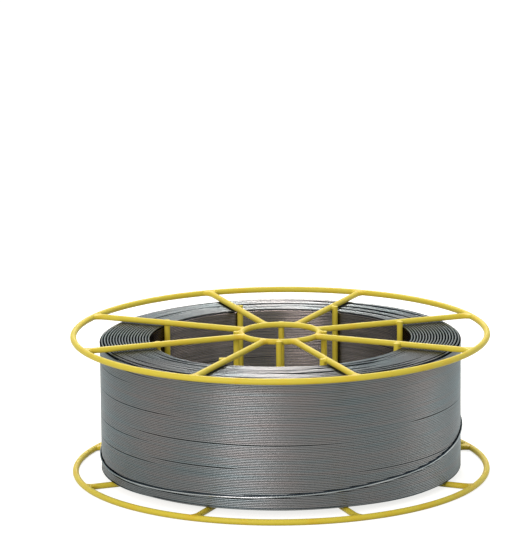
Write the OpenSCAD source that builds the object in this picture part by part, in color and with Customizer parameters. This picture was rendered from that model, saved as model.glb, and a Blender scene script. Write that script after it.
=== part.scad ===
// Wire basket spool wound with flux-cored welding wire, lying flat on one flange.
// The spool's axis is Z, the floor is Z = 0 and the origin is the middle of the
// lower flange's underside. Lengths are in millimetres.

/* [Flanges] */
// Outside diameter of each flange
flange_d = 300; // [280:1:320]
// Width of the spool over both flanges
spool_w = 103; // [90:0.5:120]
// Thickness of the outer rings' wire
ring_wire_d = 4.4; // [3:0.1:5]
// Thickness of the spokes' wire
spoke_wire_d = 4.2; // [3:0.1:5]

/* [Hub] */
// Clear bore through the hub rings
bore_d = 51.5; // [50:0.1:56]
// Thickness of the hub rings' wire
hub_wire_d = 4.1; // [3:0.1:5]
// Thickness of the bars that tie the hub rings together
hub_bar_d = 4.2; // [3:0.1:5]

/* [Drum] */
// Diameter over the drum bars, which the wire is wound on
drum_d = 187; // [170:1:200]
// Thickness of the drum bars
drum_bar_d = 4.2; // [3:0.1:5]
// Depth that two crossing wires are pressed into each other at a weld
weld_sink = 0.6; // [0.2:0.05:0.8]
// How far the bars' upper ends stay below the upper flange's face
bar_inset = 1; // [0.2:0.1:2]

/* [Wound wire] */
// Thickness of the welding wire
wire_d = 1.2; // [0.8:0.1:1.6]
// Outside diameter of the wound wire
coil_d = 258.4; // [225:0.1:270]
// Play between the drum bars and the first layer of wire
drum_play = 0.1; // [0.05:0.05:0.5]
// Space between the lower spokes and the wound wire
foot_gap = 0.1; // [0.05:0.05:0.5]
// Space between the wound wire and the upper spokes
head_gap = 0.2; // [0.1:0.1:2]
// Outermost layers that stop short of the upper flange, step by step
short_layers = 2; // [1:1:6]

/* [Hidden] */
$fn = 96;
spokes = 8;
hub_bars = spokes / 2;

low_z = max(ring_wire_d, spoke_wire_d, hub_wire_d) / 2;
high_z = spool_w - low_z;
ring_r = (flange_d - ring_wire_d) / 2;
hub_ring_r = (bore_d + hub_wire_d) / 2;

spoke_step = 360 / spokes;
drum_bar_r = (drum_d - drum_bar_d) / 2;
drum_bar_aside = (spoke_wire_d + drum_bar_d) / 2 - weld_sink;
drum_bar_turn = asin(drum_bar_aside / drum_bar_r);
hub_bar_r = hub_ring_r + (hub_wire_d + hub_bar_d) / 2 - weld_sink;

coil_in_r = drum_d / 2 + drum_play;
coil_out_r = coil_d / 2;
coil_low_z = low_z + spoke_wire_d / 2 + foot_gap;
coil_high_z = high_z - spoke_wire_d / 2 - head_gap;
// Turns nest in the grooves of the layer below, so the layers lie half a turn higher and lower in
// turn, and every second one is half a turn short of an end that the others reach.
layer_step = wire_d * sqrt(3) / 2;
turn_pitch = 2 * layer_step;
turn_recess = wire_d / 2;

function spoke_angle(i) = (i - 0.5) * spoke_step;

// The ring's seam lies between a spoke and a hub bar.
module wire_ring(r, d, z) {
    translate([0, 0, z]) rotate([0, 0, spoke_step / 4]) rotate_extrude()
        translate([r, 0]) circle(d = d);
}

module outer_ring(z) {
    color("gold") wire_ring(ring_r, ring_wire_d, z);
}

module hub_ring(z) {
    color("gold") wire_ring(hub_ring_r, hub_wire_d, z);
}

// A straight radial wire whose ends are shaped to the two rings it is butt welded between.
module spoke(i, z) {
    color("gold") difference() {
        rotate([0, 0, spoke_angle(i)]) translate([hub_ring_r, 0, z]) rotate([0, 90, 0])
            cylinder(d = spoke_wire_d, h = ring_r - hub_ring_r);
        wire_ring(ring_r, ring_wire_d, z);
        wire_ring(hub_ring_r, hub_wire_d, z);
    }
}

module spoke_wire(i, z) {
    rotate([0, 0, spoke_angle(i)]) translate([drum_bar_r / 2, 0, z]) rotate([0, 90, 0])
        cylinder(d = spoke_wire_d, h = drum_bar_r);
}

// Beside each spoke, on its clockwise side seen from above, and cut to fit against it.
module drum_bar(i) {
    color("gold") difference() {
        rotate([0, 0, spoke_angle(i) - drum_bar_turn]) translate([drum_bar_r, 0, 0])
            cylinder(d = drum_bar_d, h = spool_w - bar_inset);
        spoke_wire(i, low_z);
        spoke_wire(i, high_z);
    }
}

// Outside the hub rings, in every second space between the spokes.
module hub_bar(i) {
    color("gold") difference() {
        rotate([0, 0, (i - 1) * 2 * spoke_step]) translate([hub_bar_r, 0, 0])
            cylinder(d = hub_bar_d, h = spool_w - bar_inset);
        wire_ring(hub_ring_r, hub_wire_d, low_z);
        wire_ring(hub_ring_r, hub_wire_d, high_z);
    }
}

// One end face of the wound wire, as profile points from the drum outwards: a ridge for
// each turn that reaches the end, then the outer layers stepping back. side is +1 at the
// upper end and -1 at the lower one, short is how many layers step back, and lead is how
// far the first ridge is from the drum, in turn pitches.
function end_profile(z, side, short, lead) =
    let (
        edge_r = coil_out_r - short * layer_step,
        ridges = floor((edge_r - coil_in_r) / turn_pitch - lead - 0.1),
        low = z - side * turn_recess
    ) [
        if (lead > 0) [coil_in_r + (lead - 0.1) * turn_pitch, low],
        for (k = [lead : 1 : lead + ridges - 1]) each [
            [coil_in_r + (k + 0.05) * turn_pitch, z],
            [coil_in_r + (k + 0.45) * turn_pitch, z],
            [coil_in_r + (k + 0.6) * turn_pitch, low],
            [coil_in_r + (k + 0.9) * turn_pitch, low]
        ],
        [coil_in_r + (lead + ridges + 0.05) * turn_pitch, z],
        for (k = [1 : 1 : short]) each [
            [edge_r + (k - 0.7) * layer_step, z - side * (k - 1) * turn_recess],
            [edge_r + (k - 0.3) * layer_step, z - side * k * turn_recess]
        ],
        [coil_out_r, z - side * short * turn_recess]
    ];

function reversed(points) = [for (i = [len(points) - 1 : -1 : 0]) points[i]];

module wire_coil() {
    color("slategray") rotate_extrude() polygon(concat(
        [[coil_in_r, coil_low_z + turn_recess], [coil_in_r, coil_high_z]],
        end_profile(coil_high_z, 1, short_layers, 0),
        reversed(end_profile(coil_low_z, -1, 0, 0.5))
    ));
}

outer_ring(high_z);  // top_outer_ring
outer_ring(low_z);  // bottom_outer_ring
hub_ring(high_z);  // top_hub_ring
hub_ring(low_z);  // bottom_hub_ring
for (i = [1 : spokes]) spoke(i, high_z);
for (i = [1 : spokes]) spoke(i, low_z);
for (i = [1 : spokes]) drum_bar(i);
for (i = [1 : hub_bars]) hub_bar(i);
wire_coil();
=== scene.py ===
"""Dresses a spool of flux-cored welding wire: its windings, weld beads, finishes and studio."""

import math

import bpy
from mathutils import Matrix, Vector


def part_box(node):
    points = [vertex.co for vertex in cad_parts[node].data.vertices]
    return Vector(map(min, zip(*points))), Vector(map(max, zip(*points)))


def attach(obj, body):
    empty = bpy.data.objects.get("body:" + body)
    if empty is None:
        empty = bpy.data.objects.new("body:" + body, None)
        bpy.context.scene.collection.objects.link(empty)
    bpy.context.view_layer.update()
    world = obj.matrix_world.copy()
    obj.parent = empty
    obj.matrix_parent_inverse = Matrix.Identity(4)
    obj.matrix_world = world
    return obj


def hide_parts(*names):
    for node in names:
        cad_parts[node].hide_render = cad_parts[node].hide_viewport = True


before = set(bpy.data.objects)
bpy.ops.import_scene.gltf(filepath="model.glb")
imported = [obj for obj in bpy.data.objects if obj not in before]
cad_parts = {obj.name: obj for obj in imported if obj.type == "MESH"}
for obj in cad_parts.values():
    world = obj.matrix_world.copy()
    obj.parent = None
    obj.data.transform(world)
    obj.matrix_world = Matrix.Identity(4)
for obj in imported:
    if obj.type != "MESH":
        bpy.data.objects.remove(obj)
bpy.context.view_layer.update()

bl_info = {
    "name": "Wire Basket Spool",
    "version": (1, 0, 0),
    "blender": (4, 5, 0),
    "location": "View3D > Sidebar > Spool",
    "description": "Makes the windings, weld beads, finishes and studio of a wire basket spool",
    "category": "Object",
}

MM = 0.001
FLANGES = ("top", "bottom")
WHITE = (1.0, 1.0, 1.0, 1.0)


# ---------------------------------------------------------------- sizes from the frame


def corners(node):
    """Lowest and highest corner of a CAD node."""
    return tuple(Vector(corner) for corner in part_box(node))


def centre(node):
    """Middle of a CAD node's box."""
    low, high = corners(node)
    return (low + high) / 2


def count(prefix):
    """How many CAD nodes have names that start with prefix."""
    return sum(name.startswith(prefix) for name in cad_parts)


SPOKES = count("top_spoke_")
DRUM_BARS = count("drum_bar_")
HUB_BARS = count("hub_bar_")

COIL_LOW, COIL_HIGH = corners("wire_coil")
COIL_RADIUS = COIL_HIGH.y
BAR_LOW, BAR_HIGH = corners("drum_bar_1")
BAR_THICKNESS = BAR_HIGH.x - BAR_LOW.x
DRUM_RADIUS = centre("drum_bar_1").xy.length + BAR_THICKNESS / 2


def ring_radius(node):
    """Radius of a wire ring's centre line."""
    low, high = corners(node)
    return high.y - (high.z - low.z) / 2


# ---------------------------------------------------------------- settings


def length(name, description, default_mm, limit_mm):
    """A length property, kept in metres."""
    return bpy.props.FloatProperty(
        name=name, description=description, default=default_mm * MM,
        min=0.0, max=limit_mm * MM, precision=5, unit="LENGTH",
    )


def colour(name, description, hex_code):
    """A colour property whose default is an sRGB hex code."""
    return bpy.props.FloatVectorProperty(
        name=name, description=description, default=linear(hex_code),
        size=4, min=0.0, max=1.0, subtype="COLOR",
    )


def linear(hex_code):
    """An sRGB hex code as a linear colour with alpha."""
    channels = [int(hex_code[i : i + 2], 16) / 255 for i in (1, 3, 5)]
    return tuple(
        c / 12.92 if c <= 0.04045 else ((c + 0.055) / 1.055) ** 2.4 for c in channels
    ) + (1.0,)


class SpoolWindingSettings(bpy.types.PropertyGroup):
    """Sizes and colours of the wound wire."""

    wire_thickness: length("Wire Thickness", "Thickness of the welding wire", 1.2, 3)
    short_layers: bpy.props.IntProperty(
        name="Short Layers", description="Outermost layers that stop short of the upper flange",
        default=2, min=0, max=10,
    )
    nesting: length("Nesting", "How much lower every second end turn lies", 1.6, 3)
    sinking: length("Sinking", "How far a loose end turn sinks between its neighbours", 1.3, 3)
    wander: length("Wander", "How far a turn strays from its even place", 0.14, 1)
    gap: length("Gap", "Width of the gaps where turns of the outer layer part", 0.48, 2)
    groove: length("Groove", "How deep the last turn presses the outer layer in", 1.1, 2)
    pressing: length("Pressing", "How far turns of a layer are pressed into each other", 0.34, 1)
    points: bpy.props.IntProperty(
        name="Points per Turn", description="Corners of one turn of wire",
        default=128, min=24, max=256,
    )
    sides: bpy.props.IntProperty(
        name="Sides", description="Sides of the wire's round section", default=8, min=4, max=16
    )
    seed: bpy.props.IntProperty(name="Seed", description="Seed of the straying", default=7)
    steel: colour("Steel", "Bare drawn steel of the wire", "#656F71")
    film: colour("Drawing Film", "Steel under a thicker drawing film", "#73706F")
    # Painted highlight: a pale steel for the last turn, standing in for the light that it catches.
    rubbed: colour("Rubbed Steel", "Steel of the last turn, rubbed clean", "#BCC0C0")
    soaped: colour("Soaped Steel", "First layer, with drawing soap left on it", "#837C79")
    soap: colour("Drawing Soap", "First layer where the soap is thicker", "#5F5D5B")
    # Painted shade: a nearly black steel for turns and faces that lie in shade between and under
    # the others.
    unrubbed: colour("Unrubbed Steel", "Between the turns, where the film is whole", "#343C41")
    grazing: colour("Grazing Tint", "Reflection of the wire seen at a low angle", "#DCE5E8")
    # Painted shade: a dark reflection tint that keeps low-angle reflections dark where turns lie in
    # shade.
    dull_grazing: colour("Dull Grazing Tint", "The same under the drawing film", "#262D35")


class SpoolBasketSettings(bpy.types.PropertyGroup):
    """Sizes and colours of the wire basket."""

    bead_reach: length("Bead Reach", "Reach of a weld bead along the wires that it joins", 3.2, 10)
    fillet_length: length("Fillet Length", "Length of a weld fillet along its spoke", 11, 20)
    fillet_root: length("Fillet Root", "Half the width of a weld fillet inside the ring", 10, 20)
    coating: colour("Coating", "Yellow coating of the basket", "#C2B43B")
    coating_thin: colour("Thin Coating", "Coating where it runs thin", "#C6AA2A")


class SpoolStudioSettings(bpy.types.PropertyGroup):
    """The floor, the lamps and the camera."""

    floor: colour("Floor", "Plain pale floor", "#B2B2B0")
    azimuth: bpy.props.FloatProperty(
        name="Azimuth", description="Camera's turn round the spool",
        default=math.radians(1.86), subtype="ANGLE",
    )
    elevation: bpy.props.FloatProperty(
        name="Elevation", description="Camera's height above the horizon",
        default=math.radians(11.98), subtype="ANGLE",
    )
    roll: bpy.props.FloatProperty(
        name="Roll", description="Camera's roll", default=math.radians(-0.54), subtype="ANGLE"
    )
    distance: bpy.props.FloatProperty(
        name="Distance", description="Camera to the point it aims at", default=2.66, unit="LENGTH"
    )
    lens: bpy.props.FloatProperty(
        name="Lens", description="Focal length in millimetres", default=244.35, unit="CAMERA"
    )


# ---------------------------------------------------------------- building helpers

# Kinds of node that come up again and again.
MATH = "ShaderNodeMath"
VECTOR_MATH = "ShaderNodeVectorMath"
MAP_RANGE = "ShaderNodeMapRange"
COMBINE = "ShaderNodeCombineXYZ"
SEPARATE = "ShaderNodeSeparateXYZ"


def add(tree, kind, *inputs, **settings):
    """Adds a node with its settings, and feeds its inputs values or other nodes' outputs.

    The inputs are given in their order, or in one dict by name or number.
    """
    node = tree.nodes.new(kind)
    for name, value in settings.items():
        setattr(node, name, value)
    named = inputs[0] if inputs and isinstance(inputs[0], dict) else dict(enumerate(inputs))
    for name, value in named.items():
        socket = node.inputs[name]
        if isinstance(value, bpy.types.Node):
            value = value.outputs[0]
        if isinstance(value, bpy.types.NodeSocket):
            tree.links.new(value, socket)
        else:
            socket.default_value = value
    return node


def new_tree(name, sockets):
    """An empty Geometry Nodes tree with named inputs, and the sockets that give them."""
    tree = bpy.data.node_groups.new(name, "GeometryNodeTree")
    for socket_name, kind in sockets.items():
        tree.interface.new_socket(socket_name, in_out="INPUT", socket_type="NodeSocket" + kind)
    tree.interface.new_socket("Geometry", in_out="OUTPUT", socket_type="NodeSocketGeometry")
    return tree, tree.nodes.new("NodeGroupInput").outputs


def end_tree(tree, geometry, material, painted_shade_material=None, painted_shade_faces=None):
    """Ends a tree in smooth, realized geometry with its material, and a dark material as painted
    shade on the faces selected for it.
    """
    real = add(tree, "GeometryNodeRealizeInstances", geometry)
    smooth = add(tree, "GeometryNodeSetShadeSmooth", real)
    dressed = add(tree, "GeometryNodeSetMaterial", {"Geometry": smooth, "Material": material})
    if painted_shade_faces:
        dressed = add(tree, "GeometryNodeSetMaterial", {
            "Geometry": dressed, "Selection": painted_shade_faces, "Material": painted_shade_material
        })
    add(tree, "NodeGroupOutput", dressed)


def placed(name, data):
    """A new object in the scene."""
    made = bpy.data.objects.new(name, data)
    bpy.context.scene.collection.objects.link(made)
    return made


def grown(name, tree, values, base=None):
    """A plain mesh object of what the tree makes from base with these inputs."""
    source = placed(name + "_source", base or bpy.data.meshes.new(name))
    modifier = source.modifiers.new(tree.name, "NODES")
    modifier.node_group = tree
    for item in tree.interface.items_tree:
        if item.in_out == "INPUT" and item.name in values:
            modifier[item.identifier] = values[item.name]
    evaluated = source.evaluated_get(bpy.context.evaluated_depsgraph_get())
    mesh = bpy.data.meshes.new_from_object(evaluated)
    bpy.data.objects.remove(source)
    return placed(name, mesh)


def dressed_piece(piece, slot, *replaced):
    """Settles a finished piece in the frame."""
    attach(piece, "root")
    if replaced:
        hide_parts(*replaced)


# ---------------------------------------------------------------- materials


def new_material(name):
    """An empty node material and its output node."""
    material = bpy.data.materials.new(name)
    material.use_nodes = True
    material.node_tree.nodes.clear()
    return material, add(material.node_tree, "ShaderNodeOutputMaterial")


def steel_finish(name, clean, filmed, grazing, roughness, tone_height=4.0):
    """Steel wire whose tone and gloss change along its turns between clean and filmed."""
    material, output = new_material(name)
    tree = material.node_tree
    place = add(tree, "ShaderNodeTexCoord")
    # Tones follow the wire: about 100 mm long along a turn, and tone_height mm high.
    along_turns = add(tree, "ShaderNodeMapping", {
        "Vector": place.outputs["Object"], "Scale": (10.0, 10.0, 1 / (tone_height * MM))
    })
    tone = add(tree, "ShaderNodeTexNoise", {"Vector": along_turns, "Scale": 1.0, "Detail": 3.0})
    # The film is thicker in patches about 55 mm across.
    patches = add(tree, "ShaderNodeTexNoise", {
        "Vector": place.outputs["Object"], "Scale": 18.0, "Detail": 2.0
    })
    mixed = add(tree, MATH, tone.outputs["Fac"], patches.outputs["Fac"], operation="ADD")
    blend = add(tree, MAP_RANGE, {"Value": mixed, "From Min": 0.7, "From Max": 1.3})
    base = add(tree, "ShaderNodeMix", {"Factor": blend, 6: clean, 7: filmed}, data_type="RGBA")
    rough = add(tree, MAP_RANGE, {
        "Value": tone.outputs["Fac"], "To Min": roughness[0], "To Max": roughness[1]
    })
    shader = add(tree, "ShaderNodeBsdfPrincipled", {
        "Base Color": base.outputs[2], "Metallic": 1.0, "Roughness": rough,
        "Specular Tint": grazing,
    })
    tree.links.new(shader.outputs[0], output.inputs["Surface"])
    return material


def drawn_steel_wire(settings):
    """Bright drawn steel wire, bare but for a film of drawing soap: each turn has its own tone."""
    return steel_finish(
        "drawn_steel_wire", settings.steel, settings.film, settings.grazing, (0.3, 0.43),
        tone_height=2.4,
    )


def burnished_steel_wire(settings):
    """The same wire on the ends, where the winder's guide has pressed it smooth: it glints."""
    return steel_finish(
        "burnished_steel_wire", settings.steel, settings.film, settings.grazing, (0.25, 0.37)
    )


def painted_shade_steel_wire(settings):
    """Painted shade: the same wire made nearly black, for turns and faces that lie in shade between
    and under the others.
    """
    return steel_finish(
        "painted_shade_steel_wire", settings.unrubbed, settings.dull_grazing, settings.dull_grazing,
        (0.3, 0.45),
    )


def soaped_steel_wire(settings):
    """The first layer, which keeps its drawing soap, so it is brownish; a dark reflection tint
    paints shade on it at low angles.
    """
    return steel_finish(
        "soaped_steel_wire", settings.soaped, settings.soap, settings.dull_grazing,
        (0.17, 0.29), tone_height=1.6,
    )


def painted_highlight_steel_wire(settings):
    """The same wire made pale as a painted highlight on the last turn, and glossier."""
    return steel_finish(
        "painted_highlight_steel_wire", settings.rubbed, settings.steel, settings.grazing, (0.16, 0.26)
    )


def over_welds(tree, place):
    """Up to 0.1 on the wires within 8 mm of a weld between a spoke and a ring."""
    x, y, _ = add(tree, SEPARATE, place.outputs["Object"]).outputs
    away = add(tree, VECTOR_MATH, add(tree, COMBINE, x, y), operation="LENGTH").outputs["Value"]
    turn = add(tree, MATH, y, x, operation="ARCTAN2")
    steps = add(tree, MATH, turn, SPOKES / math.tau, operation="MULTIPLY")
    # The spokes stand in the middle of the steps.
    share = add(tree, MATH, add(tree, MATH, steps, operation="FRACT"), 0.5, operation="SUBTRACT")
    off_spoke = add(tree, MATH, share, operation="ABSOLUTE")
    step_length = add(tree, MATH, away, math.tau / SPOKES, operation="MULTIPLY")
    aside = add(tree, MATH, off_spoke, step_length, operation="MULTIPLY")
    # The welds' middles lie just inside the outer ring and just outside the hub ring.
    past_rim, past_hub = (
        add(tree, MATH, away, radius, operation="SUBTRACT")
        for radius in (ring_radius("top_outer_ring") - 3 * MM, ring_radius("top_hub_ring") + 2 * MM)
    )
    from_rim = add(tree, MATH, past_rim, operation="ABSOLUTE")
    from_hub = add(tree, MATH, past_hub, operation="ABSOLUTE")
    from_rings = add(tree, MATH, from_rim, from_hub, operation="MINIMUM")
    farther = add(tree, MATH, aside, from_rings, operation="MAXIMUM")
    return add(
        tree, MAP_RANGE,
        {"Value": farther, "From Min": 2 * MM, "From Max": 8 * MM, "To Min": 0.1, "To Max": 0.0},
        interpolation_type="SMOOTHSTEP",
    )


def yellow_dip_coating(settings):
    """Plastic dip-coated on steel wire: smooth and semi-gloss, thinner and brown in places."""
    material, output = new_material("yellow_dip_coating")
    tree = material.node_tree
    place = add(tree, "ShaderNodeTexCoord")
    # The coating is thin in patches about 17 mm across, and near the welds.
    patches = add(tree, "ShaderNodeTexNoise", {
        "Vector": place.outputs["Object"], "Scale": 60.0, "Detail": 4.0
    })
    thin = add(tree, MAP_RANGE, {
        "Value": add(tree, MATH, patches.outputs["Fac"], over_welds(tree, place), operation="ADD"),
        "From Min": 0.5, "From Max": 0.8,
    })
    base = add(
        tree, "ShaderNodeMix", {"Factor": thin, 6: settings.coating, 7: settings.coating_thin},
        data_type="RGBA",
    )
    # Slight runs of the coating, about 2 mm long.
    runs = add(tree, "ShaderNodeTexNoise", {
        "Vector": place.outputs["Object"], "Scale": 450.0, "Detail": 2.0
    })
    bump = add(tree, "ShaderNodeBump", {
        "Height": runs.outputs["Fac"], "Strength": 0.35, "Distance": 0.15 * MM
    })
    shader = add(tree, "ShaderNodeBsdfPrincipled", {
        "Base Color": base.outputs[2], "Roughness": 0.48, "IOR": 1.45, "Specular IOR Level": 0.22,
        "Normal": bump,
    })
    tree.links.new(shader.outputs[0], output.inputs["Surface"])
    return material


def finish_of(make, settings):
    """The material that make is named for, made the first time that it is asked for."""
    return bpy.data.materials.get(make.__name__) or make(settings)


# ---------------------------------------------------------------- geometry node trees


def coordinates(tree):
    """Each point's X, Y and Z."""
    position = add(tree, "GeometryNodeInputPosition")
    return add(tree, SEPARATE, position).outputs


def from_axis(tree):
    """Level vector from the axis to each point."""
    position = add(tree, "GeometryNodeInputPosition")
    return add(tree, VECTOR_MATH, position, (1.0, 1.0, 0.0), operation="MULTIPLY")


def outward(tree):
    """Direction from the axis to each point."""
    return add(tree, VECTOR_MATH, from_axis(tree), operation="NORMALIZE")


def share_of_turn(tree, start):
    """Share of a turn round the axis from the angle start to each point."""
    x, y, _ = coordinates(tree)
    angle = add(tree, MATH, y, x, operation="ARCTAN2")
    from_start = add(tree, MATH, angle, start, operation="SUBTRACT")
    wrapped = add(tree, MATH, from_start, math.tau, operation="FLOORED_MODULO")
    return add(tree, MATH, wrapped, math.tau, operation="DIVIDE")


def straying(tree, row, seed, bends):
    """Smooth noise along a turn that has nothing to do with the next turn's, row by row."""
    round_the_axis = add(tree, VECTOR_MATH, {0: outward(tree), "Scale": bends}, operation="SCALE")
    # Rows lie so far apart in the noise that they share nothing.
    own_row = add(tree, COMBINE, {2: add(tree, MATH, row, 1.37, operation="MULTIPLY")})
    place = add(tree, VECTOR_MATH, round_the_axis, own_row, operation="ADD")
    noise = add(
        tree, "ShaderNodeTexNoise", {"Vector": place, "W": seed, "Scale": 1.0, "Detail": 1.0},
        noise_dimensions="4D",
    )
    return add(tree, SEPARATE, noise.outputs["Color"])


def about(tree, noise, middle, reach):
    """Noise counted from a middle value and scaled to a reach."""
    off_middle = add(tree, MATH, noise, middle, operation="SUBTRACT")
    return add(tree, MATH, off_middle, reach, operation="MULTIPLY")


def moved(tree, curve, swing, rise):
    """A curve whose points move by swing away from the axis and by rise upwards."""
    sideways = add(tree, VECTOR_MATH, {0: outward(tree), "Scale": swing}, operation="SCALE")
    upwards = add(tree, COMBINE, {2: rise})
    offset = add(tree, VECTOR_MATH, sideways, upwards, operation="ADD")
    return add(tree, "GeometryNodeSetPosition", {"Geometry": curve, "Offset": offset})


def round_wire(tree, curve, thickness, sides):
    """A closed round wire along a curve."""
    radius = add(tree, MATH, thickness, 2.0, operation="DIVIDE")
    section = add(
        tree, "GeometryNodeCurvePrimitiveCircle", {"Resolution": sides, "Radius": radius}
    )
    return add(tree, "GeometryNodeCurveToMesh", {
        "Curve": curve, "Profile Curve": section, "Fill Caps": True
    })


# Where turns of the outer layer part: height as a share of the winding's, middle of the
# gap in degrees round the axis, and half its length in degrees.
PARTINGS = (
    (0.925, 206.0, 30.0),
    (0.845, 194.0, 26.0),
    (0.665, 208.0, 34.0),
    (0.435, 204.0, 26.0),
    (0.492, 254.0, 40.0),
    (0.275, 208.0, 24.0),
    (0.315, 243.0, 20.0),
    (0.250, 318.0, 26.0),
    (0.560, 334.0, 22.0),
    (0.780, 20.0, 36.0),
    (0.380, 62.0, 44.0),
    (0.610, 118.0, 30.0),
    (0.180, 140.0, 30.0),
)
# The push that opens a gap dies away over about ten turns.
PARTING_FADE = 12 * MM

# The last turn, which lies over the outer layer: degrees round the axis, height in mm above
# the winding's lower end and height above the outer layer as a share of the wire's thickness.
LAST_TURN = (
    (74.0, 24.8, -1.2), (84.0, 24.5, -0.8), (94.0, 23.9, -0.2), (104.0, 23.0, 0.3),
    (114.0, 22.0, 0.5), (130.0, 20.0, 0.6), (150.0, 16.5, 0.8), (170.0, 12.8, 0.95),
    (184.0, 10.4, 0.95), (194.0, 8.7, 0.8), (210.0, 7.5, 0.6), (227.0, 7.9, 0.5),
    (246.0, 9.0, 0.5), (262.0, 9.9, 0.5), (277.0, 11.2, 0.5), (290.0, 12.8, 0.5),
    (303.0, 15.0, 0.5), (320.0, 17.9, 0.5), (331.0, 20.7, 0.7), (344.0, 24.7, 0.9),
    (358.0, 29.8, 1.0), (374.0, 34.6, 0.8), (392.0, 38.4, 0.6), (412.0, 40.6, 0.5),
    (428.0, 41.4, 0.5), (438.0, 41.5, 0.2), (446.0, 41.5, -0.6), (452.0, 41.5, -1.4),
)
# How the turn beside it lies: farther up, and less far out, in wire thicknesses. It is dark steel,
# a painted shadow in the last turn's lee.
BESIDE_RISE = 0.8
BESIDE_STAND = -0.4
# At d wire thicknesses from the last turn, the groove under it has this share of its depth:
# exp(GROOVE_FALL * d**GROOVE_EDGE). That is all of it under the turn, and none 1.5 away.
GROOVE_FALL = -0.8
GROOVE_EDGE = 6.0


def above_last_turn(tree, given):
    """Height above the last turn, in wire thicknesses."""
    # Shares of a turn are counted from the back, where the last turn's ends are.
    share = share_of_turn(tree, math.pi / 2)
    path = add(tree, "ShaderNodeFloatCurve", {"Value": share})
    # The curve takes values up to 1, which stands for this many mm.
    tallest = 50.0
    stations = [(d / 360 - 0.25, h / tallest) for d, h, _ in LAST_TURN if 90 <= d <= 450]
    curve = path.mapping.curves[0]
    curve.points[0].location, curve.points[1].location = stations[0], stations[-1]
    for x, y in stations[1:-1]:
        curve.points.new(x, y)
    path.mapping.update()
    level = add(tree, MATH, path, tallest * MM, COIL_LOW.z, operation="MULTIPLY_ADD")
    above = add(tree, MATH, coordinates(tree)[2], level, operation="SUBTRACT")
    return add(tree, MATH, above, given["Wire Thickness"], operation="DIVIDE")


def parting_rise(tree, given):
    """How far the turns near each gap are pushed aside, up above it and down below it."""
    outwards = outward(tree)
    # Heights are taken along the turns, which climb by one thickness each time round.
    way_round = share_of_turn(tree, 0.0)
    climbed = add(tree, MATH, way_round, given["Wire Thickness"], operation="MULTIPLY")
    height = add(tree, MATH, coordinates(tree)[2], climbed, operation="SUBTRACT")
    room = add(tree, MATH, given["High"], given["Low"], operation="SUBTRACT")
    total = 0.0
    for share, middle, half in PARTINGS:
        towards = (math.cos(math.radians(middle)), math.sin(math.radians(middle)), 0.0)
        facing = add(tree, VECTOR_MATH, outwards, towards, operation="DOT_PRODUCT")
        # A gap is open over its middle half and closes towards its ends.
        end, open_from = math.cos(math.radians(half)), math.cos(math.radians(half / 2))
        opened = add(
            tree, MAP_RANGE,
            {"Value": facing.outputs["Value"], "From Min": end, "From Max": open_from},
            interpolation_type="SMOOTHSTEP",
        )
        line = add(tree, MATH, room, share, given["Low"], operation="MULTIPLY_ADD")
        above = add(tree, MATH, height, line, operation="SUBTRACT")
        apart = add(tree, MATH, above, operation="ABSOLUTE")
        decay = add(tree, MATH, apart, -PARTING_FADE, operation="DIVIDE")
        faded = add(tree, MATH, decay, operation="EXPONENT")
        way = add(tree, MATH, above, operation="SIGN")
        pushed = add(tree, MATH, way, faded, operation="MULTIPLY")
        push = add(tree, MATH, pushed, opened, operation="MULTIPLY")
        total = add(tree, MATH, total, push, operation="ADD")
    half_gap = add(tree, MATH, given["Gap"], 2.0, operation="DIVIDE")
    return add(tree, MATH, total, half_gap, operation="MULTIPLY")


def layer_tree():
    """One layer of turns side by side, as one long helix."""
    tree, given = new_tree("wound_layer", {
        "Radius": "Float", "Low": "Float", "High": "Float", "Wire Thickness": "Float",
        "Points per Turn": "Int", "Sides": "Int", "Wander": "Float", "Gap": "Float",
        "Groove": "Float", "Pressing": "Float", "Seed": "Int", "Material": "Material",
    })
    thickness = given["Wire Thickness"]
    wander = given["Wander"]
    room = add(tree, MATH, given["High"], given["Low"], operation="SUBTRACT")
    height = add(tree, MATH, room, thickness, operation="SUBTRACT")
    helix = add(tree, "GeometryNodeCurveSpiral", {
        "Resolution": given["Points per Turn"],
        "Rotations": add(tree, MATH, height, thickness, operation="DIVIDE"),
        "Start Radius": given["Radius"], "End Radius": given["Radius"], "Height": height,
    })
    half = add(tree, MATH, thickness, 2.0, operation="DIVIDE")
    start = add(tree, MATH, given["Low"], half, operation="ADD")
    lift = add(tree, COMBINE, {2: start})
    raised = add(tree, "GeometryNodeSetPosition", {"Geometry": helix, "Offset": lift})
    parted = moved(tree, raised, 0.0, parting_rise(tree, given))
    row = add(tree, MATH, coordinates(tree)[2], thickness, operation="DIVIDE")
    stray = straying(tree, row, given["Seed"], bends=2.6)
    # Turns stray mostly inwards, so that they stay in the winding, and twice as far up or down.
    swing = about(tree, stray.outputs[0], 0.75, wander)
    rise = about(tree, stray.outputs[1], 0.5, wander)
    # The layer gives way along the last turn, which presses into it.
    apart = add(tree, MATH, above_last_turn(tree, given), GROOVE_EDGE, operation="POWER")
    falling = add(tree, MATH, apart, GROOVE_FALL, operation="MULTIPLY")
    near = add(tree, MATH, falling, operation="EXPONENT")
    groove = add(tree, MATH, near, given["Groove"], operation="MULTIPLY")
    swing = add(tree, MATH, swing, groove, operation="SUBTRACT")
    laid = moved(tree, parted, swing, add(tree, MATH, rise, 2.0, operation="MULTIPLY"))
    # Turns side by side are pressed into each other, so the grooves between them are shallow.
    pressed = add(tree, MATH, thickness, given["Pressing"], operation="ADD")
    wire = round_wire(tree, laid, pressed, given["Sides"])
    end_tree(tree, wire, given["Material"])
    return tree


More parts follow.
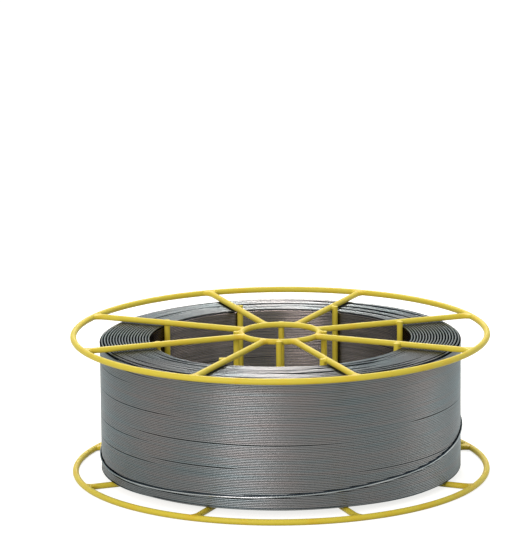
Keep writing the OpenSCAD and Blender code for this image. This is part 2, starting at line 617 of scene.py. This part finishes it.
def end_turns_tree():
    """The last turn of each layer at one end of the winding, as rings one layer apart.

    Lead is 0 where the innermost layer reaches the end and 1 where the next one does.
    """
    tree, given = new_tree("end_turns", {
        "First Radius": "Float", "Layer Step": "Float", "Layers": "Int", "Lead": "Int",
        "Short Layers": "Int", "End": "Float", "Inward": "Float", "Nesting": "Float",
        "Wire Thickness": "Float", "Points per Turn": "Int", "Sides": "Int", "Wander": "Float",
        "Sinking": "Float", "Seed": "Int", "Material": "Material", "Deep Material": "Material",
    })
    half = add(tree, MATH, given["Wire Thickness"], 2.0, operation="DIVIDE")
    index = add(tree, "GeometryNodeInputIndex")
    first, step = given["First Radius"], given["Layer Step"]
    radius = add(tree, MATH, index, step, first, operation="MULTIPLY_ADD")
    # Every second full layer nests lower, and past them each layer ends half a turn lower still.
    full_layers = add(tree, MATH, given["Layers"], given["Short Layers"], operation="SUBTRACT")
    number = add(tree, MATH, index, 1.0, operation="ADD")
    past_full = add(tree, MATH, number, full_layers, operation="SUBTRACT")
    short_by = add(tree, MATH, past_full, 0.0, operation="MAXIMUM")
    steps = add(tree, MATH, short_by, half, operation="MULTIPLY")
    row = add(tree, MATH, index, given["Lead"], operation="ADD")
    is_second = add(tree, MATH, row, 2.0, operation="MODULO")
    nested = add(tree, MATH, is_second, given["Nesting"], operation="MULTIPLY")
    is_full = add(tree, MATH, past_full, 0.5, operation="LESS_THAN")
    nested_full = add(tree, MATH, nested, is_full, operation="MULTIPLY")
    below = add(tree, MATH, steps, nested_full, operation="MAXIMUM")
    middle = add(tree, MATH, below, half, operation="ADD")
    depth = add(tree, MATH, middle, given["Inward"], operation="MULTIPLY")
    level = add(tree, MATH, given["End"], depth, operation="ADD")
    points = add(tree, "GeometryNodePoints", {
        "Count": given["Layers"], "Position": add(tree, COMBINE, {2: level})
    })
    # The first turn keeps its own steel all over, the others that stand out only on their crests,
    # and the nested ones nowhere; everywhere else the dark steel is painted shade. The attribute
    # film counts this shade, not a real film: it is 0, 1 and at least 3 on them.
    nests = add(tree, MATH, nested, 0.0, operation="GREATER_THAN")
    past_first = add(tree, MATH, index, 1.0, operation="MINIMUM")
    film = add(tree, MATH, nests, 3.0, past_first, operation="MULTIPLY_ADD")
    marked = add(
        tree, "GeometryNodeStoreNamedAttribute",
        {"Geometry": points, "Name": "film", "Value": film}, data_type="FLOAT", domain="POINT",
    )
    ring = add(tree, "GeometryNodeCurvePrimitiveCircle", {
        "Resolution": given["Points per Turn"], "Radius": 1.0
    })
    rings = add(tree, "GeometryNodeInstanceOnPoints", {
        "Points": marked, "Instance": ring, "Scale": add(tree, COMBINE, radius, radius, 1.0)
    })
    real = add(tree, "GeometryNodeRealizeInstances", rings)
    away = add(tree, VECTOR_MATH, from_axis(tree), operation="LENGTH")
    layer = add(tree, MATH, away.outputs["Value"], step, operation="DIVIDE")
    stray = straying(tree, layer, given["Seed"], bends=0.9)
    wander = given["Wander"]
    swing = about(tree, stray.outputs[0], 0.5, wander)
    # End turns stray inwards only, so that they stay clear of the spokes, and sink only towards
    # the front and the back.
    eased = add(
        tree, MAP_RANGE, {"Value": stray.outputs[1], "From Min": 0.5, "From Max": 0.66},
        interpolation_type="SMOOTHSTEP",
    )
    backward = add(tree, SEPARATE, outward(tree)).outputs[1]
    frontal = add(tree, MATH, backward, operation="ABSOLUTE")
    loose = add(
        tree, MAP_RANGE, {"Value": frontal, "From Min": 0.35, "From Max": 0.8},
        interpolation_type="SMOOTHSTEP",
    )
    sinking = add(tree, MATH, eased, loose, operation="MULTIPLY")
    wandering = add(tree, MATH, stray.outputs[2], wander, operation="MULTIPLY")
    sunk = add(tree, MATH, sinking, given["Sinking"], wandering, operation="MULTIPLY_ADD")
    inward = add(tree, MATH, given["Inward"], sunk, operation="MULTIPLY")
    laid = moved(tree, real, swing, inward)
    wire = round_wire(tree, laid, given["Wire Thickness"], given["Sides"])
    # A face that looks into the winding adds up to 1 to its turn's film, and one that looks out
    # takes as much away; where the sum passes 1.2 the face gets the dark steel as painted shade.
    facing_up = add(tree, SEPARATE, add(tree, "GeometryNodeInputNormal")).outputs[2]
    film = add(tree, "GeometryNodeInputNamedAttribute", {"Name": "film"}, data_type="FLOAT")
    shade_sum = add(tree, MATH, facing_up, given["Inward"], film, operation="MULTIPLY_ADD")
    painted_shade_faces = add(tree, MATH, shade_sum, 1.2, operation="GREATER_THAN")
    end_tree(tree, wire, given["Material"], given["Deep Material"], painted_shade_faces)
    return tree


# The ways in which a weld bead reaches over its wires, and how far those at the drum bars and
# those at the hub bars do, as shares of the bead reach.
BEAD_SIDES = ("Radial", "Cross", "Upright")
DRUM_BEAD = (0.85, 1.1, 0.55)
HUB_BEAD = (0.8, 0.85, 0.55)
# A fillet's tip as a share of the spoke's thickness, and a hub fillet's length and root as
# shares of a rim fillet's.
FILLET_TIP = 0.98
HUB_FILLET_LENGTH = 0.75
HUB_FILLET_ROOT = 0.6


def spread_round(tree, given, shape):
    """Copies of a shape at even angles on the given circle, each turned to face outwards."""
    step = add(tree, MATH, math.tau, given["Count"], operation="DIVIDE")
    index = add(tree, "GeometryNodeInputIndex")
    angle = add(tree, MATH, index, step, given["First Angle"], operation="MULTIPLY_ADD")
    circle = given["Circle"]
    x, y = (
        add(tree, MATH, add(tree, MATH, angle, operation=wave), circle, operation="MULTIPLY")
        for wave in ("COSINE", "SINE")
    )
    place = add(tree, COMBINE, x, y, given["Height"])
    points = add(tree, "GeometryNodePoints", {"Count": given["Count"], "Position": place})
    return add(tree, "GeometryNodeInstanceOnPoints", {
        "Points": points, "Instance": shape, "Rotation": add(tree, COMBINE, {2: angle})
    })


def beads_tree():
    """Weld beads at even angles on a circle, each swelling over the wires that it joins."""
    tree, given = new_tree("weld_beads", {
        "Count": "Int", "First Angle": "Float", "Circle": "Float", "Height": "Float",
        **{side + " Reach": "Float" for side in BEAD_SIDES}, "Material": "Material",
    })
    ball = add(tree, "GeometryNodeMeshUVSphere", {"Segments": 20, "Rings": 12, "Radius": 1.0})
    reaches = [given[side + " Reach"] for side in BEAD_SIDES]
    size = add(tree, COMBINE, *reaches)
    bead = add(tree, "GeometryNodeTransform", {"Geometry": ball, "Scale": size})
    end_tree(tree, spread_round(tree, given, bead), given["Material"])
    return tree


def fillets_tree():
    """Weld fillets at even angles on a ring, each a flat flare that narrows along its spoke."""
    tree, given = new_tree("weld_fillets", {
        "Count": "Int", "First Angle": "Float", "Circle": "Float", "Height": "Float",
        "Length": "Float", "Root": "Float", "Tip": "Float", "Material": "Material",
    })
    length_along, root, tip = given["Length"], given["Root"], given["Tip"]
    line = add(tree, "GeometryNodeCurvePrimitiveLine", {"End": add(tree, COMBINE, length_along)})
    cut = add(tree, "GeometryNodeResampleCurve", {"Curve": line, "Count": 10})
    section = add(tree, "GeometryNodeCurvePrimitiveCircle", {"Resolution": 16, "Radius": 1.0})
    bar = add(tree, "GeometryNodeCurveToMesh", {
        "Curve": cut, "Profile Curve": section, "Fill Caps": True
    })
    x, y, z = coordinates(tree)
    # The flare dies away with the cube of what is left of the length.
    share = add(tree, MATH, x, length_along, operation="DIVIDE")
    left_over = add(tree, MATH, 1.0, share, operation="SUBTRACT")
    cubed = add(tree, MATH, left_over, 3.0, operation="POWER")
    excess = add(tree, MATH, root, tip, operation="SUBTRACT")
    flare = add(tree, MATH, excess, cubed, operation="MULTIPLY")
    half_width = add(tree, MATH, tip, flare, operation="ADD")
    wide = add(tree, MATH, y, half_width, operation="MULTIPLY")
    thick = add(tree, MATH, z, tip, operation="MULTIPLY")
    shaped = add(tree, COMBINE, x, wide, thick)
    fillet = add(tree, "GeometryNodeSetPosition", {"Geometry": bar, "Position": shaped})
    end_tree(tree, spread_round(tree, given, fillet), given["Material"])
    return tree


def lone_wire_tree():
    """A round wire along any curve."""
    tree, given = new_tree("lone_wire", {
        "Geometry": "Geometry", "Wire Thickness": "Float", "Sides": "Int", "Material": "Material",
    })
    wire = round_wire(tree, given["Geometry"], given["Wire Thickness"], given["Sides"])
    end_tree(tree, wire, given["Material"])
    return tree


# ---------------------------------------------------------------- the winding


def layer_plan(settings):
    """First layer's radius, the step between layers and how many there are."""
    thickness = settings.wire_thickness
    first = DRUM_RADIUS + thickness / 2
    last = COIL_RADIUS - thickness / 2
    # Layers nest in the grooves below them, so they lie less than a thickness apart.
    layers = 1 + int((last - first) / (thickness * math.sqrt(3) / 2))
    return first, (last - first) / (layers - 1), layers


def shoulder_drop(settings):
    """How far below the upper end the outermost layer stops."""
    return (settings.short_layers + 1) * settings.wire_thickness / 2


def turn_inputs(settings):
    """The inputs that every tree of wound turns takes."""
    return {
        "Wire Thickness": settings.wire_thickness, "Points per Turn": settings.points,
        "Sides": settings.sides, "Wander": settings.wander,
    }


def turned(name, profile, steps):
    """A closed ring: a profile of (radius, height) points, clockwise, turned about the axis."""
    corner_count = len(profile)
    verts = []
    for step in range(steps):
        angle = math.tau * step / steps
        verts += [(r * math.cos(angle), r * math.sin(angle), z) for r, z in profile]
    faces = []
    for step in range(steps):
        here, there = step * corner_count, (step + 1) % steps * corner_count
        for k in range(corner_count):
            after = (k + 1) % corner_count
            faces.append((here + k, there + k, there + after, here + after))
    mesh = bpy.data.meshes.new(name)
    mesh.from_pydata(verts, [], faces)
    return placed(name, mesh)


class SPOOL_OT_side_layers(bpy.types.Operator):
    """Winds the outermost and innermost layers"""

    bl_idname = "spool.side_layers"
    bl_label = "Side Layers"

    def execute(self, context):
        settings = context.scene.spool_winding
        first, step, layers = layer_plan(settings)
        thickness = settings.wire_thickness
        tree = layer_tree()
        shared = {**turn_inputs(settings), "Gap": settings.gap, "Pressing": settings.pressing}
        outer = grown("outer_layer", tree, {
            **shared, "Radius": first + step * (layers - 1) - settings.pressing / 2,
            "Low": COIL_LOW.z + thickness / 2, "High": COIL_HIGH.z - shoulder_drop(settings),
            "Groove": settings.groove, "Seed": settings.seed,
            "Material": finish_of(drawn_steel_wire, settings),
        })
        inner = grown("inner_layer", tree, {
            **shared, "Radius": first, "Low": COIL_LOW.z + thickness,
            "High": COIL_HIGH.z - thickness, "Seed": settings.seed + 1,
            "Wander": 2 * settings.wander,
            "Material": finish_of(soaped_steel_wire, settings),
        })
        for piece in (outer, inner):
            dressed_piece(piece, "welding_wire", "wire_coil")
        return {"FINISHED"}


class SPOOL_OT_end_turns(bpy.types.Operator):
    """Lays the turns that show on the winding's two ends"""

    bl_idname = "spool.end_turns"
    bl_label = "End Turns"

    def execute(self, context):
        settings = context.scene.spool_winding
        steel = finish_of(burnished_steel_wire, settings)
        # The dark steel is painted shade on the nested turns and on faces that look into the
        # winding.
        unrubbed = finish_of(painted_shade_steel_wire, settings)
        first, step, layers = layer_plan(settings)
        tree = end_turns_tree()
        # The innermost layer reaches the upper end, and the outermost one the lower end.
        ends = {
            "upper_end_turns": {
                "End": COIL_HIGH.z, "Inward": -1.0, "Lead": 0,
                "Short Layers": settings.short_layers, "Seed": settings.seed + 2,
            },
            "lower_end_turns": {
                "End": COIL_LOW.z, "Inward": 1.0, "Lead": layers % 2 + 1, "Short Layers": 0,
                "Seed": settings.seed + 3,
            },
        }
        for name, own in ends.items():
            piece = grown(name, tree, {
                **turn_inputs(settings), "First Radius": first, "Layer Step": step,
                "Layers": layers, "Nesting": settings.nesting, "Sinking": settings.sinking,
                "Material": steel, "Deep Material": unrubbed, **own,
            })
            dressed_piece(piece, "welding_wire", "wire_coil")
        return {"FINISHED"}


class SPOOL_OT_buried_layers(bpy.types.Operator):
    """Fills the winding between the layers that show"""

    bl_idname = "spool.buried_layers"
    bl_label = "Buried Layers"

    def execute(self, context):
        settings = context.scene.spool_winding
        thickness = settings.wire_thickness
        first, step, layers = layer_plan(settings)
        # Deep enough below the turns on every side to be dark between them, and made of the nearly
        # black steel, which is painted shade.
        inner, outer = first + thickness, first + step * (layers - 1) - thickness
        shoulder = outer - step * (settings.short_layers + 1)
        sunk = thickness + settings.nesting + settings.sinking
        low, high = COIL_LOW.z + sunk, COIL_HIGH.z - sunk
        profile = [
            (inner, low), (inner, high), (shoulder, high),
            (outer, high - shoulder_drop(settings)), (outer, low),
        ]
        piece = turned("buried_layers", profile, settings.points)
        # Its nearly black steel is painted shade.
        piece.data.materials.append(finish_of(painted_shade_steel_wire, settings))
        dressed_piece(piece, "welding_wire", "wire_coil")
        return {"FINISHED"}


def along(stations, steps):
    """Points on a smooth curve through the stations, the given number of steps between two."""
    points = []
    for k in range(len(stations) - 1):
        before, here = stations[max(k - 1, 0)], stations[k]
        there, after = stations[k + 1], stations[min(k + 2, len(stations) - 1)]
        for step in range(steps):
            t = step / steps
            points.append(tuple(
                b + t * (c - a + t * (2 * a - 5 * b + 4 * c - d + t * (3 * b - 3 * c + d - a))) / 2
                for a, b, c, d in zip(before, here, there, after)
            ))
    return points + [stations[-1]]


class SPOOL_OT_last_turn(bpy.types.Operator):
    """Lays the last turn over the outer layer in pale steel, a painted highlight, and beside it a
    turn in dark steel, a painted shadow in its lee
    """

    bl_idname = "spool.last_turn"
    bl_label = "Last Turn"

    def execute(self, context):
        settings = context.scene.spool_winding
        thickness = settings.wire_thickness
        tree = lone_wire_tree()
        # The last turn's pale steel is a painted highlight.
        last = grown("last_turn", tree, {
            "Wire Thickness": thickness, "Sides": 2 * settings.sides,
            "Material": finish_of(painted_highlight_steel_wire, settings),
        }, self.route(settings, 0.0, 0.0))
        # The turn beside the last is dark steel, a painted shadow just above the last turn.
        beside = grown("turn_beside_last", tree, {
            "Wire Thickness": thickness, "Sides": settings.sides,
            "Material": finish_of(painted_shade_steel_wire, settings),
        }, self.route(settings, BESIDE_RISE, BESIDE_STAND))
        for piece in (last, beside):
            dressed_piece(piece, "welding_wire", "wire_coil")
        return {"FINISHED"}

    def route(self, settings, rise, stand):
        """The last turn's way round the winding, moved up and outwards by wire thicknesses."""
        thickness = settings.wire_thickness
        first, step, layers = layer_plan(settings)
        outer = first + step * (layers - 1)
        curve = bpy.data.curves.new("last_turn_route", "CURVE")
        curve.dimensions = "3D"
        stations = along(LAST_TURN, steps=8)
        spline = curve.splines.new("POLY")
        spline.points.add(len(stations) - 1)
        for point, (degrees, height, above) in zip(spline.points, stations):
            angle, reach = math.radians(degrees), outer + (above + stand) * thickness
            level = COIL_LOW.z + height * MM + rise * thickness
            point.co = (reach * math.cos(angle), reach * math.sin(angle), level, 1.0)
        return curve


# ---------------------------------------------------------------- the basket


class SPOOL_OT_basket_coating(bpy.types.Operator):
    """Coats the basket's wires"""

    bl_idname = "spool.basket_coating"
    bl_label = "Basket Coating"

    def execute(self, context):
        coating = finish_of(yellow_dip_coating, context.scene.spool_basket)
        for name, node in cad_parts.items():
            if name == "wire_coil":
                continue
            node.data.materials.clear()
            node.data.materials.append(coating)
        return {"FINISHED"}


def direction(node):
    """Angle round the axis to the middle of a CAD node."""
    middle = centre(node)
    return math.atan2(middle.y, middle.x)


class SPOOL_OT_weld_fillets(bpy.types.Operator):
    """Sets coated weld fillets where the spokes meet the rings"""

    bl_idname = "spool.weld_fillets"
    bl_label = "Weld Fillets"

    def execute(self, context):
        settings = context.scene.spool_basket
        coating = finish_of(yellow_dip_coating, settings)
        tree = fillets_tree()
        for flange in FLANGES:
            spoke, hub_ring = flange + "_spoke_1", flange + "_hub_ring"
            low, high = corners(spoke)
            shared = {
                "Count": SPOKES, "First Angle": direction(spoke), "Height": centre(spoke).z,
                "Tip": FILLET_TIP * (high.z - low.z) / 2, "Material": coating,
            }
            outer = grown(flange + "_rim_fillets", tree, {
                **shared, "Circle": ring_radius(flange + "_outer_ring"),
                "Length": -settings.fillet_length, "Root": settings.fillet_root,
            })
            inner = grown(flange + "_hub_fillets", tree, {
                **shared, "Circle": ring_radius(hub_ring),
                "Length": HUB_FILLET_LENGTH * settings.fillet_length,
                "Root": HUB_FILLET_ROOT * settings.fillet_root,
            })
            for piece in (outer, inner):
                dressed_piece(piece, "yellow_coated_wire")
        return {"FINISHED"}


class SPOOL_OT_weld_beads(bpy.types.Operator):
    """Sets coated weld beads where the upright bars meet the flanges"""

    bl_idname = "spool.weld_beads"
    bl_label = "Weld Beads"

    def execute(self, context):
        settings = context.scene.spool_basket
        coating = finish_of(yellow_dip_coating, settings)
        tree = beads_tree()
        for flange in FLANGES:
            spoke, hub_ring = flange + "_spoke_1", flange + "_hub_ring"
            at_spokes = grown(flange + "_drum_bar_beads", tree, {
                "Count": DRUM_BARS, "First Angle": (direction(spoke) + direction("drum_bar_1")) / 2,
                "Circle": centre("drum_bar_1").xy.length, "Height": centre(spoke).z,
                "Material": coating, **self.reaches(settings, DRUM_BEAD),
            })
            at_hub = grown(flange + "_hub_bar_beads", tree, {
                "Count": HUB_BARS, "First Angle": direction("hub_bar_1"),
                "Circle": (ring_radius(hub_ring) + centre("hub_bar_1").xy.length) / 2,
                "Height": centre(hub_ring).z, "Material": coating,
                **self.reaches(settings, HUB_BEAD),
            })
            for piece in (at_spokes, at_hub):
                dressed_piece(piece, "yellow_coated_wire")
        return {"FINISHED"}

    def reaches(self, settings, shares):
        """How far a bead reaches on each side, from its shares of the bead reach."""
        return {
            side + " Reach": share * settings.bead_reach for side, share in zip(BEAD_SIDES, shares)
        }


# ---------------------------------------------------------------- the studio

# Strength of the world's light on matte surfaces, where 1 would be white.
WORLD_LEVEL = 0.6
# Strength of the glow that brings the floor's colour up to near white for the camera.
FLOOR_GLOW = 1.78
# Where the camera aims, in metres: right of the axis and above the upper ring.
AIM_RIGHT, AIM_ABOVE = -0.0147, 0.0426
# Each lamp's place and size in metres, its power in watts and its tint.
LAMPS = {
    "overhead_box": ((-0.13, 0.0, 1.6), (0.9, 0.35), 5.0, (1.0, 0.95, 0.925)),
    "back_box": ((-0.06, 1.2, 1.25), (0.3, 0.5), 21.0, (1.0, 0.9, 0.85)),
    "front_box": ((-0.75, -2.0, 0.8), (1.25, 0.8), 34.0, (1.0, 0.88, 0.88)),
    "right_box": ((2.2, 0.6, 0.7), (1.4, 0.8), 8.0, (1.0, 0.95, 0.925)),
}


class SPOOL_OT_studio(bpy.types.Operator):
    """Sets the floor, the lamps, the world and the camera"""

    bl_idname = "spool.studio"
    bl_label = "Studio"

    def execute(self, context):
        settings = context.scene.spool_studio
        self.lay_floor(settings)
        self.light_world(context.scene)
        self.hang_lamps()
        self.place_camera(context.scene, settings)
        context.scene.view_settings.view_transform = "Standard"
        return {"FINISHED"}

    def lay_floor(self, settings):
        """A wide plain floor that stays pale to the camera and keeps the spool's shadow."""
        mesh = bpy.data.meshes.new("floor")
        far = 20.0
        mesh.from_pydata(
            [(-far, -far, 0), (far, -far, 0), (far, far, 0), (-far, far, 0)], [], [(0, 1, 2, 3)]
        )
        floor = placed("floor", mesh)
        material, output = new_material("pale_floor")
        tree = material.node_tree
        matte = add(tree, "ShaderNodeBsdfDiffuse", {"Color": settings.floor})
        glow = add(tree, "ShaderNodeEmission", {"Color": settings.floor, "Strength": FLOOR_GLOW})
        lit = add(tree, "ShaderNodeAddShader", matte, glow)
        chosen = add(tree, "ShaderNodeMixShader", self.shown_rays(tree), matte, lit)
        tree.links.new(chosen.outputs[0], output.inputs["Surface"])
        floor.data.materials.append(material)

    def light_world(self, scene):
        """White to the camera and in reflections, and a plain level for the rest."""
        world = bpy.data.worlds.new("studio")
        world.use_nodes = True
        tree = world.node_tree
        tree.nodes.clear()
        level = add(tree, MAP_RANGE, {
            "Value": self.shown_rays(tree), "To Min": WORLD_LEVEL, "To Max": 1.0
        })
        background = add(tree, "ShaderNodeBackground", {"Color": WHITE, "Strength": level})
        add(tree, "ShaderNodeOutputWorld", background)
        scene.world = world

    def shown_rays(self, tree):
        """One for the rays that show the background: to the camera, in gloss and through glass.

        Rays that lit a matte surface first only carry light, so they get the plain level.
        """
        rays = add(tree, "ShaderNodeLightPath").outputs
        shown = add(tree, MATH, rays["Is Camera Ray"], rays["Is Glossy Ray"], operation="MAXIMUM")
        shown = add(tree, MATH, shown, rays["Is Transmission Ray"], operation="MAXIMUM")
        unlit = add(tree, MATH, rays["Diffuse Depth"], 0.5, operation="LESS_THAN")
        return add(tree, MATH, shown, unlit, operation="MULTIPLY")

    def hang_lamps(self):
        """Soft boxes overhead, high at the back, at the right, and in front left of the camera."""
        for name, (place, size, power, tint) in LAMPS.items():
            data = bpy.data.lights.new(name, "AREA")
            data.color = tint
            data.shape = "RECTANGLE"
            data.size, data.size_y = size
            data.energy = power
            lamp = placed(name, data)
            lamp.location = place
            aim = Vector((0.0, 0.0, COIL_HIGH.z / 2)) - lamp.location
            lamp.rotation_euler = aim.to_track_quat("-Z", "Y").to_euler()

    def place_camera(self, scene, settings):
        """Looks along the set azimuth and elevation at a point above and left of the hub."""
        data = bpy.data.cameras.new("camera")
        data.lens = settings.lens
        data.clip_start, data.clip_end = 0.05, 100.0
        camera = placed("camera", data)
        turn = Matrix.Rotation(settings.azimuth, 4, "Z")
        aim = turn @ Vector((AIM_RIGHT, 0.0, centre("top_outer_ring").z + AIM_ABOVE))
        tilt = Matrix.Rotation(math.pi / 2 - settings.elevation, 4, "X")
        roll = Matrix.Rotation(settings.roll, 4, "Z")
        stand_back = Matrix.Translation((0.0, 0.0, settings.distance))
        camera.matrix_world = Matrix.Translation(aim) @ turn @ tilt @ stand_back @ roll
        scene.camera = camera


# ---------------------------------------------------------------- the add-on


class SPOOL_PT_panel(bpy.types.Panel):
    """Lists the spool's settings and steps"""

    bl_label = "Spool"
    bl_idname = "SPOOL_PT_panel"
    bl_space_type = "VIEW_3D"
    bl_region_type = "UI"
    bl_category = "Spool"

    def draw(self, context):
        for group_name in GROUPS:
            group = getattr(context.scene, group_name)
            box = self.layout.box()
            box.label(text=group_name.removeprefix("spool_").title())
            for name in group.__annotations__:
                box.prop(group, name)
        for step in STEPS:
            self.layout.operator(step.bl_idname)


STEPS = (
    SPOOL_OT_buried_layers,
    SPOOL_OT_side_layers,
    SPOOL_OT_end_turns,
    SPOOL_OT_last_turn,
    SPOOL_OT_basket_coating,
    SPOOL_OT_weld_fillets,
    SPOOL_OT_weld_beads,
    SPOOL_OT_studio,
)
GROUPS = {
    "spool_winding": SpoolWindingSettings,
    "spool_basket": SpoolBasketSettings,
    "spool_studio": SpoolStudioSettings,
}


def register():
    for group in GROUPS.values():
        bpy.utils.register_class(group)
    for name, group in GROUPS.items():
        setattr(bpy.types.Scene, name, bpy.props.PointerProperty(type=group))
    for kind in (*STEPS, SPOOL_PT_panel):
        bpy.utils.register_class(kind)


def unregister():
    for kind in reversed((*STEPS, SPOOL_PT_panel)):
        bpy.utils.unregister_class(kind)
    for name in GROUPS:
        delattr(bpy.types.Scene, name)
    for group in reversed(GROUPS.values()):
        bpy.utils.unregister_class(group)


def main():
    """Runs every step in order."""
    register()
    bpy.ops.spool.buried_layers()
    bpy.ops.spool.side_layers()
    bpy.ops.spool.end_turns()
    bpy.ops.spool.last_turn()
    bpy.ops.spool.basket_coating()
    bpy.ops.spool.weld_fillets()
    bpy.ops.spool.weld_beads()
    bpy.ops.spool.studio()


if __name__ == "__main__":
    main()
